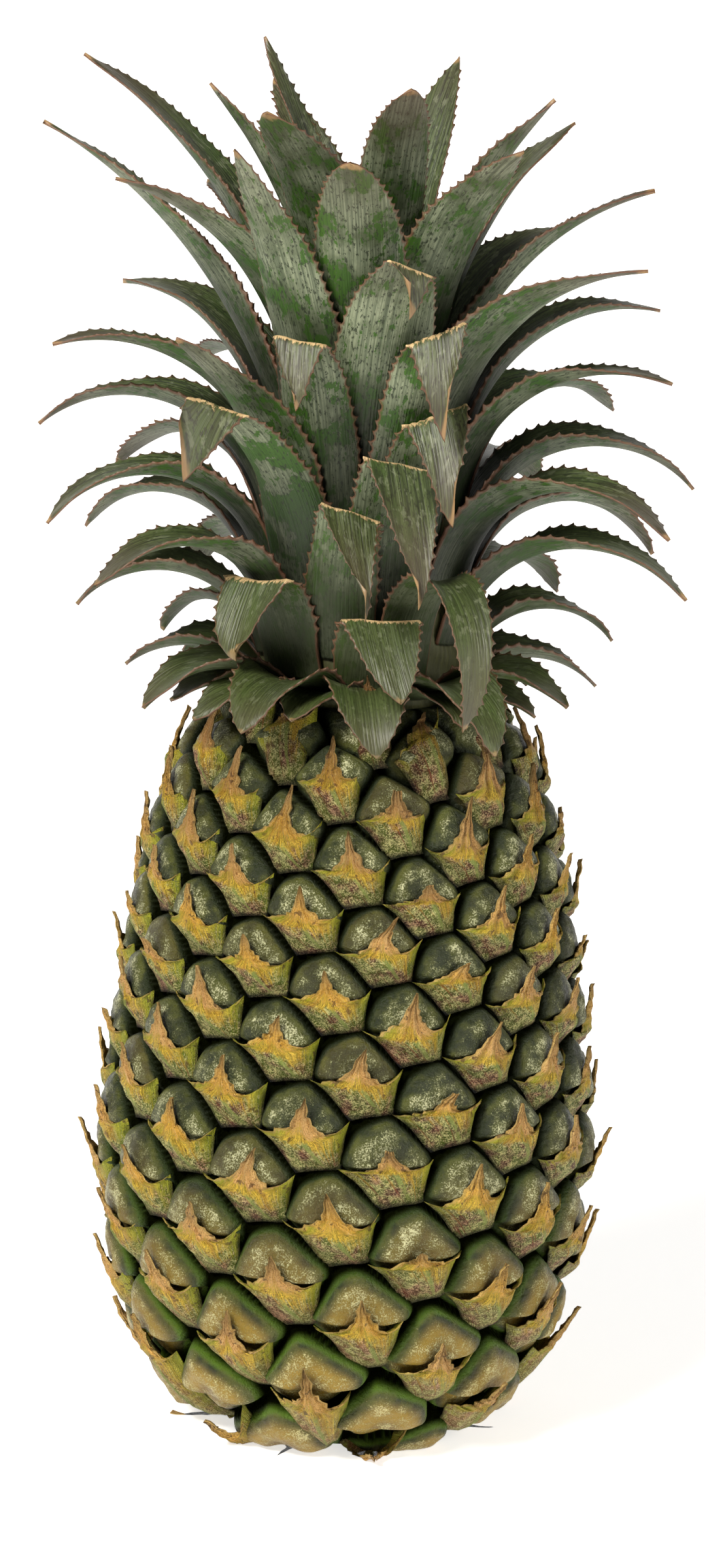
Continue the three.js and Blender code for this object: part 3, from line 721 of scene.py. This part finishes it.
# leaves that the photo shows one by one. fold is where one folds over, as a share of its length, by is by
# how many degrees, skew how far aslant, aside the drift of its tip, bare how much bloom is rubbed off
special = {
    0: {"turn": -10, "fold": 0.44, "by": 88, "lean": 25, "tipTurn": 60, "length": 41, "aside": 0.12,
        "shoulder": 3.5},
    3: {"turn": -5, "fold": 0.52, "by": 110, "skew": 0.03, "lean": 21, "tipTurn": 50, "length": 42,
        "aside": 0.04, "width": 18.5, "shoulder": 5, "point": 0.6},
    5: {"turn": -24, "lean": 11, "tipTurn": 200, "length": 79, "aside": -0.05, "width": 14.5,
        "late": 1.1},
    8: {"turn": -6, "fold": 0.56, "by": 105, "skew": -0.04, "lean": 18, "tipTurn": 42, "length": 58,
        "aside": 0.2, "width": 18},
    10: {"turn": -10, "lean": 26, "tipTurn": 145, "length": 66},
    11: {"aside": -0.1},
    13: {"turn": -17, "fold": 0.5, "by": 112, "skew": -0.03, "lean": 14, "tipTurn": 40, "length": 74,
         "aside": 0.03, "width": 18.5},
    16: {"turn": -8, "fold": 0.77, "by": 66, "skew": -0.08, "lean": 13, "tipTurn": 80, "length": 71,
         "aside": -0.04, "width": 20, "shoulder": 1.7, "bare": 1},
    18: {"turn": 2},
    21: {"turn": 15, "fold": 0.61, "by": 112, "skew": 0.05, "lean": 14, "tipTurn": 46, "length": 64,
         "aside": 0, "width": 17},
    24: {"lean": 12, "tipTurn": 62, "length": 62, "aside": 0, "width": 22},
    26: {"turn": -19, "fold": 0.7, "by": 115, "skew": 0.05, "lean": 10.5, "tipTurn": 45, "length": 74,
         "aside": -0.02, "width": 17.8, "bare": 0.5},
    29: {"turn": -14, "fold": 0.72, "by": 118, "skew": -0.02, "lean": 11, "tipTurn": 48, "length": 60,
         "aside": 0.09, "width": 20, "bare": 0.3},
    31: {"lean": 12, "length": 61, "aside": 0.16, "width": 17.6},
    32: {"turn": -11, "width": 21},
    34: {"turn": -15, "fold": 0.84, "by": 105, "skew": -0.04, "lean": 13, "tipTurn": 52, "length": 70,
         "aside": 0.06, "width": 24, "shoulder": 3},
    37: {"lean": 13, "tipTurn": 44, "length": 84, "aside": 0, "width": 21, "shoulder": 2},
    39: {"aside": 0.18},
    40: {"lean": 20, "tipTurn": 64, "length": 97, "aside": 0},
    42: {"turn": -5, "lean": 12, "tipTurn": 58, "length": 80, "aside": 0, "width": 25, "shoulder": 2.6,
         "point": 0.6, "bare": 0.2},
    45: {"aside": -0.12, "width": 21},
    48: {"lean": 18, "tipTurn": 62, "length": 96},
    50: {"lean": 12, "tipTurn": 60, "width": 20, "shoulder": 3, "point": 0.6},
    55: {"lean": 10, "tipTurn": 52, "width": 17, "shoulder": 3, "point": 0.6},
    56: {"width": 12},
}


def stemRadiusAt(z):
    profile = np.array(crown["stemOutline"]) * (crown["stemRadius"], stemHeight)
    return float(np.interp(z - stemFoot, profile[:, 1], profile[:, 0]))


def leafForm(k):
    x = k / (crown["count"] - 1) * (len(habit) - 1)
    usual = dict(zip(("length", "width", "lean", "tipTurn", "late"),
                     (float(np.interp(x, np.arange(len(habit)), column)) for column in habit.T)))
    usual.update(
        aside=0.1 * (2 * chance(k, 5) - 1), turn=0, fold=None, by=0, skew=0, shoulder=2.5, point=0.85, bare=0,
    )
    form = {**usual, **special.get(k, {})}
    spreads = {"length": 0.05, "width": 0.06, "lean": 0.1, "tipTurn": 0.06}
    for kind, (key, spread) in enumerate(spreads.items(), 1):
        form[key] *= 1 + spread * (2 * chance(k, kind) - 1)
    form["azimuth"] = math.radians(crown["phase"] + form["turn"]) - k * goldenTurn
    form["root"] = stemFoot + crown["foot"] + k * crown["rise"]
    form["stem"] = stemRadiusAt(form["root"])
    form["number"] = k
    form["rank"] = k / crown["count"]
    return form


def foldAt(form, side):
    # where along the leaf it folds: aslant, and wavering across it
    waver = crown["foldWaver"] * wave(side * 5, side * 0, form["number"])
    return form["fold"] + crown["foldLate"] + form["skew"] * side + waver


def leafSurface(form, t, side, tooth, raised):
    # a trough about a middle line that turns steadily outwards, and sharply at a fold
    steps = 400
    u = (np.arange(steps) + 0.5) / steps
    stretch = crown["foldStretch"]
    turn = mix(math.radians(form["lean"]), math.radians(form["tipTurn"]), u ** form["late"])
    # one line for each column, because a fold may run aslant and so come sooner on one side
    columns = side[0]
    turn = np.repeat(turn[:, None], len(columns), axis=1)
    if form["fold"]:
        start = foldAt(form, columns) - stretch / 2
        turn = turn + math.radians(form["by"]) * ease((u[:, None] - start) / stretch)
    step = form["length"] / steps
    thick = mix(*crown["thickness"], np.clip(t, 0, 1))
    lineR = np.cumsum(np.sin(turn) * step, axis=0) + form["stem"] + crown["clearance"] + crown["thickness"][0]
    lineZ = np.cumsum(np.cos(turn) * step, axis=0) + form["root"]
    place = np.clip(t * steps - 1, 0, steps - 1.001)
    i = place.astype(int)
    at = lambda line: mix(np.take_along_axis(line, i, 0), np.take_along_axis(line, i + 1, 0), place - i)
    angle = at(turn)
    below = np.minimum(t, 0) * form["length"]  # the base goes on straight down behind the lower leaves

    width = form["width"] * crown["wider"]
    taper = np.maximum(1 - np.maximum(t, 0) ** form["shoulder"], 0) ** form["point"]
    half = width / 2 * (0.9 + 0.1 * ease(t / 0.3)) * taper
    half = half + tooth
    flat = 1
    if form["fold"]:
        past = t - foldAt(form, side)
        flat = 1 - crown["foldFlat"] * np.exp(-(past / np.where(past < 0, *crown["foldReach"])) ** 2)
    hollow = mix(form["stem"] + 2, width * 0.6, ease(t / 0.4)) / flat
    spread = side * half / hollow
    k = form["number"]
    ripple = crown["ripple"] * wave(t * 17, side * 2, k) * np.abs(side) ** 2 * ease(t / 0.3)
    cup = hollow * (1 - np.cos(spread)) + raised * thick * (1 - 0.6 * np.abs(side) ** 3) + ripple
    across = hollow * np.sin(spread) + form["aside"] * form["length"] * t * t
    r = at(lineR) - np.cos(angle) * cup + below * 0.25
    z = at(lineZ) + np.sin(angle) * cup + below * 0.97
    sin, cos = math.sin(form["azimuth"]), math.cos(form["azimuth"])
    points = np.stack([r * sin + across * cos, -r * cos + across * sin, z], -1)
    return points, side * half


def makeLeafMesh(form):
    # four rows for each tooth: the edge swells, comes to a point that looks to the tip, and falls back
    teeth = max(6, int(form["length"] * 0.93 / crown["toothSpacing"]))
    row = np.arange(teeth * 4 + 6)
    toothed = mix(-crown["tuck"], 0.95, np.arange(teeth * 4) / (teeth * 4))
    t = np.concatenate([toothed, np.linspace(0.95, 1, 6)])
    phase = row % 4
    size = np.where(row < teeth * 4, np.array([0.0, 0.12, 0.95, 0.35])[phase], 0.0)
    uneven = 0.6 + 0.8 * chance(row // 4, form["number"] % 5 + 20)
    size = size * ease((t - 0.1) / 0.15) * mix(1, 0.6, t) * uneven
    forward = np.where(phase == 2, 0.22, 0.0) * crown["toothSpacing"] / form["length"] * (row < teeth * 4)
    side = np.array(crown["columns"], float)
    T, A = np.meshgrid(t, side, indexing="ij")
    outer = (np.abs(A) > 0.99)
    T = np.minimum(T + forward[:, None] * outer, 1)
    tooth = size[:, None] * crown["toothReach"] * outer
    inner, across = leafSurface(form, T, A, tooth, 1)
    outside, _ = leafSurface(form, T, A, tooth, -1)
    # seen from outside the upper grid runs left to right, so the outer face comes first
    points = np.stack([outside, inner]).reshape(-1, 3)
    face = np.repeat([0.0, 1.0], T.size)
    along = T * form["length"]
    twice = lambda values: np.concatenate([values.ravel(), values.ravel()])
    behind = T - foldAt(form, A) if form["fold"] else -1 + 0 * T
    fold = np.exp(-(behind * form["length"] / 0.8) ** 2)
    past = ease(behind * 40)
    values = {
        "leafPlace": np.stack([twice(across), twice(along), twice(0 * T + form["number"] * 13.0)], 1),
        "leafShare": np.stack([twice(A), twice(T), face], 1),
        "leafWear": np.stack([twice(fold), twice(past), twice(tooth)], 1),
        "leafOwn": np.stack([np.full(len(points), v) for v in
                             (form["rank"], chance(form["number"], 14), form["bare"])], 1),
    }
    return points, sheetFaces(len(t), len(side)), values


def leafFinish():
    material, tree, shader = newFinish("leaf")
    g = Graph(tree)
    inLeaf = g.value("leafPlace", "Vector")
    across, along, face = (g.parts(g.value("leafShare", "Vector"))[i] for i in range(3))
    fold, past, tooth = (g.parts(g.value("leafWear", "Vector"))[i] for i in range(3))
    rank, own, bare = (g.parts(g.value("leafOwn", "Vector"))[i] for i in range(3))
    fine = placeGroup(g, fibreGroup, {"Place": inLeaf, "Spacing": 0.5, "Length": 30.0})
    broad = placeGroup(g, fibreGroup, {"Place": inLeaf, "Spacing": 2.2, "Length": 9.0})
    patch = g.noise(inLeaf, 0.09, 4.0, 0.6)
    scratch = g.noise(inLeaf, 0.55, 4.0, 0.65, (1.0, 0.5, 1.0))
    dashes = g.noise(inLeaf, 1.6, 3.0, 0.7, (1.0, 0.4, 1.0))

    # back: a silver bloom, rubbed off in scratches and patches down to the green
    bloom = g.blend(g.ramp(fine["Lines"], 0.3, 0.7), colour("4a543e"), colour("848c70"))
    bloom = g.blend(g.ramp(patch, 0.35, 0.65), bloom, colour("3e4a2c"))
    green = g.blend(fine["Lines"], colour("142e02"), colour("3c6604"))
    rubbed = g.plus(scratch, g.swing(patch, 0.75))
    rubbed = g.plus(rubbed, g.times(g.math("ABSOLUTE", across), 0.05))
    rubbed = g.plus(rubbed, g.times(bare, g.ramp(patch, 0.45, 0.55, (0.0, 0.2))))
    back = g.blend(g.ramp(rubbed, 0.585, 0.6), bloom, green)
    back = g.blend(g.ramp(dashes, 0.565, 0.61, (0.0, 0.9)), back, colour("19240a"))

    # inner face: darker green in long stripes, purplish brown towards the tip
    upper = g.blend(g.ramp(fine["Lines"], 0.35, 0.65), colour("1f2812"), colour("4c5832"))
    upper = g.blend(g.ramp(broad["Patches"], 0.5, 0.68, (0.0, 0.6)), upper, colour("3c5220"))
    upper = g.blend(g.ramp(dashes, 0.54, 0.6, (0.0, 0.75)), upper, colour("171d0c"))
    upper = g.blend(g.ramp(scratch, 0.56, 0.62, (0.0, 0.5)), upper, colour("767c62"))
    skin = g.blend(face, back, upper)
    tip = g.times(g.ramp(along, 0.55, 1.0), g.ramp(own, 0.1, 0.9, (0.35, 0.9)))
    tipSkin = g.blend(fine["Lines"], colour("33241c"), colour("5a463a"))
    skin = g.blend(g.times(tip, 0.75), skin, tipSkin)
    # painted shade: each leaf darkens towards its root, for the shade deep among the leaves
    skin = g.blend(g.ramp(along, 0.6, 0.1, (0.0, 0.8)), skin, colour("0e1308"))
    dryTip = g.ramp(g.plus(along, g.swing(scratch, 0.05)), 0.965, 0.985)
    drySkin = g.blend(scratch, colour("4a3020"), colour("b08c5c"))
    skin = g.blend(g.times(dryTip, 0.85), skin, drySkin)
    lowLeaf = g.ramp(rank, 0.3, 0.0)
    skin = g.blend(g.times(lowLeaf, 0.4), skin, colour("363f14"))

    # teeth are red brown, folds and torn tips are dry and tan
    edge = g.ramp(g.math("ABSOLUTE", across), 0.95, 1.0)
    skin = g.blend(g.times(edge, 0.8), skin, colour("5e3c2a"))
    torn = g.plus(fold, g.swing(dashes, 2.4))
    dryColour = g.blend(scratch, colour("8a6a44"), colour("dcc090"))
    skin = g.blend(g.times(g.ramp(torn, 0.35, 0.7), g.ramp(fold, 0.02, 0.2)), skin, dryColour)
    relief = g.plus(fine["Lines"], broad["Lines"])
    dress(g, shader, skin, g.level(face, 0.6, 0.48), relief, 0.0004, 0.8)
    return material


leafLook = leafFinish()
for k in range(crown["count"]):
    points, quads, values = makeLeafMesh(leafForm(k))
    number = f"{k + 1:02d}"
    settle(addMesh("crown_leaf_" + number, points, quads, leafLook, values), "leaf", "leaf_" + number)
print("crown leaves done")


# Crown stem with the short leaves round its foot

# two rings: the leaves of the lower one lie out flat, those of the upper one rise and hang over
collars = [
    {"count": 10, "root": 1.6, "inset": 4, "length": (25, 30), "width": (17, 20), "lean": (62, 70),
     "tipTurn": (112, 132)},
    {"count": 11, "root": 2.2, "inset": 2.6, "length": (33, 42), "width": (20, 23), "lean": (46, 54),
     "tipTurn": (128, 164)},
]


def collarForm(ring, k):
    collar = collars[ring]
    form = {key: mix(*collar[key], chance(k + 10 * ring, kind))
            for key, kind in (("length", 7), ("width", 8), ("lean", 9), ("tipTurn", 10))}
    evenly = math.radians(360 * k / collar["count"] + 8 * (chance(k, 15) - 0.5))
    form.update(
        azimuth=evenly if ring else math.radians(crown["phase"]) + (k + 1) * goldenTurn,
        root=stemFoot + collar["root"], stem=crown["stemRadius"] - collar["inset"],
        aside=0.16 * (chance(k + 10 * ring, 11) - 0.5), late=1, fold=None, by=0, skew=0, shoulder=2.2,
        point=0.85, bare=0, number=k + 60 + 10 * ring, rank=0,
    )
    return form


def makeStem(finish):
    profile = np.array(crown["stemOutline"]) * (crown["stemRadius"], stemHeight) + (0, stemFoot)
    columns, rows = 96, 60
    z = np.linspace(0, 0.98, rows) * stemHeight + stemFoot
    r = np.interp(z, profile[:, 1], profile[:, 0])
    azimuth = np.arange(columns) * 2 * math.pi / columns
    A, Z = np.meshgrid(azimuth, z)
    R = r[:, None] - 0.35 + 0.35 * np.sin(9 * A + Z * 0.8)
    points = np.concatenate([turned(R, Z, A).reshape(-1, 3), [[0, 0, z[0]], [0, 0, z[-1] + 1]]])
    quads, triangles = ringFaces(rows, columns)
    return addMesh("crown_stem_core", points, quads, finish, {}, triangles)


def stemFinish():
    material, tree, shader = newFinish("stem")
    g = Graph(tree)
    place = g.node("TexCoord").outputs["Object"]
    lines = g.noise(place, 900.0, 3.0, 0.6, (1.0, 1.0, 0.08))
    # painted shade: the stem is coloured dark olive for the shade that fills the gaps between the leaf bases
    skin = g.blend(lines, colour("22240d"), colour("55562e"))
    dress(g, shader, skin, g.level(lines, 0.75, 0.6), lines, 0.0006, 0.8)
    return material


settle(makeStem(stemFinish()), "leaf_base", "crown_stem")
pointSets, quadSets, valueSets = [], [], []
for ring, collar in enumerate(collars):
    for k in range(collar["count"]):
        points, quads, values = makeLeafMesh(collarForm(ring, k))
        quadSets.append(quads + sum(len(p) for p in pointSets))
        pointSets.append(points)
        valueSets.append(values)
joined = {key: np.concatenate([v[key] for v in valueSets]) for key in valueSets[0]}
settle(addMesh("crown_foot_leaves", np.concatenate(pointSets), np.concatenate(quadSets), leafLook, joined),
       "leaf_base", "crown_stem")
print("crown stem done")


# Cut stalk

stalk = {
    "radius": 13.0,
    "length": 8.0,
    "columns": 64,
}


def makeStalk(finish):
    radius, length = stalk["radius"], stalk["length"]
    profile = [(0.6 * radius, 0.25), (radius * 0.93, 0.0), (radius, 0.4), (radius, length - 1.5),
               (radius - 1.5, length)]
    azimuth = np.arange(stalk["columns"]) * 2 * math.pi / stalk["columns"]
    points = np.concatenate([turned(*ring, azimuth) for ring in profile] + [[[0, 0, 0.35], [0, 0, length]]])
    quads, triangles = ringFaces(len(profile), stalk["columns"])
    return addMesh("stalk_cut", points, quads, finish, {}, triangles)


def stalkFinish():
    material, tree, shader = newFinish("cut stalk")
    g = Graph(tree)
    place = g.node("TexCoord").outputs["Object"]
    fibre = g.node("TexVoronoi", {"Vector": place, "Scale": 700.0}).outputs["Distance"]
    patch = g.noise(place, 160.0, 3.0)
    skin = g.blend(g.ramp(fibre, 0.1, 0.5), colour("caa873"), colour("8b6a3c"))
    skin = g.blend(g.ramp(patch, 0.4, 0.7, (0.0, 0.6)), skin, colour("6b4a28"))
    dress(g, shader, skin, g.level(patch, 0.9, 0.75), fibre, 0.0005, 0.8)
    return material


settle(makeStalk(stalkFinish()), "cut_stalk", "stalk")


# Stage, lights and camera

stage = {
    "width": 3.2,
    "front": -1.6,
    "bend": 1.3,  # far enough back for a view from behind the part
    "bendRadius": 0.3,
    "height": 1.0,
    "paper": (0.93, 0.92, 0.91, 1),
    "glow": 0.62,
    "air": 0.12,
    "aim": (0, 0, 0.16),
}
lights = {
    "key": {"place": (-0.7, -0.9, 1.15), "size": 0.45, "power": 36, "tint": (1.0, 0.965, 0.9)},
    "fill": {"place": (1.15, -0.5, 0.5), "size": 0.9, "power": 10, "tint": (1.0, 0.97, 0.91)},
}


def makeStage():
    turn = np.linspace(0, math.pi / 2, 16)
    back = stage["bend"] + stage["bendRadius"]
    y = np.concatenate([[stage["front"]], stage["bend"] + stage["bendRadius"] * np.sin(turn), [back]])
    z = np.concatenate([[0], stage["bendRadius"] * (1 - np.cos(turn)), [stage["height"]]])
    rows = len(y)
    edges = [np.stack([np.full(rows, x), y, z], 1) for x in (-stage["width"] / 2, stage["width"] / 2)]
    i = np.arange(rows - 1)
    quads = np.stack([i, i + rows, i + rows + 1, i + 1], 1)
    material, _, shader = newFinish("paper")
    shader.inputs["Base Color"].default_value = stage["paper"]
    shader.inputs["Roughness"].default_value = 0.9
    shader.inputs["Specular IOR Level"].default_value = 0.0
    shader.inputs["Emission Color"].default_value = (1, 1, 1, 1)
    shader.inputs["Emission Strength"].default_value = stage["glow"]
    addMesh("floor", np.concatenate(edges) / mm, quads, material)


def addLight(name, place, size, power, tint):
    data = bpy.data.lights.new(name, "AREA")
    data.size = size
    data.energy = power
    data.color = tint
    lamp = bpy.data.objects.new(name, data)
    lamp.location = place
    lamp.rotation_euler = (Vector(stage["aim"]) - Vector(place)).to_track_quat("-Z", "Y").to_euler()
    bpy.context.scene.collection.objects.link(lamp)


makeStage()
for name, light in lights.items():
    addLight(name, **light)
world = bpy.data.worlds.new("studio")
world.use_nodes = True
world.node_tree.nodes["Background"].inputs["Color"].default_value = (1, 0.99, 0.97, 1)
world.node_tree.nodes["Background"].inputs["Strength"].default_value = stage["air"]
bpy.context.scene.world = world
bpy.context.scene.view_settings.view_transform = "Standard"

photo = {
    "height": 2400,
    "focal": 6000,  # distance of the eye from the picture, in its pixels
    "pixel": 0.16 * mm,
    "elevation": math.radians(11.8),
    "roll": 0.03,
    "centre": (-0.0009, 0, 0.160),
}
camera = bpy.data.objects.new("camera", bpy.data.cameras.new("camera"))
camera.data.sensor_fit = "VERTICAL"
camera.data.angle = 2 * math.atan(photo["height"] / 2 / photo["focal"])
camera.data.clip_end = 20
away = photo["focal"] * photo["pixel"]
centre = Vector(photo["centre"])
camera.location = centre + away * Vector((0, -math.cos(photo["elevation"]), math.sin(photo["elevation"])))
look = (centre - camera.location).to_track_quat("-Z", "Y") @ Quaternion((0, 0, 1), photo["roll"])
camera.rotation_euler = look.to_euler()
bpy.context.scene.collection.objects.link(camera)
bpy.context.scene.camera = camera
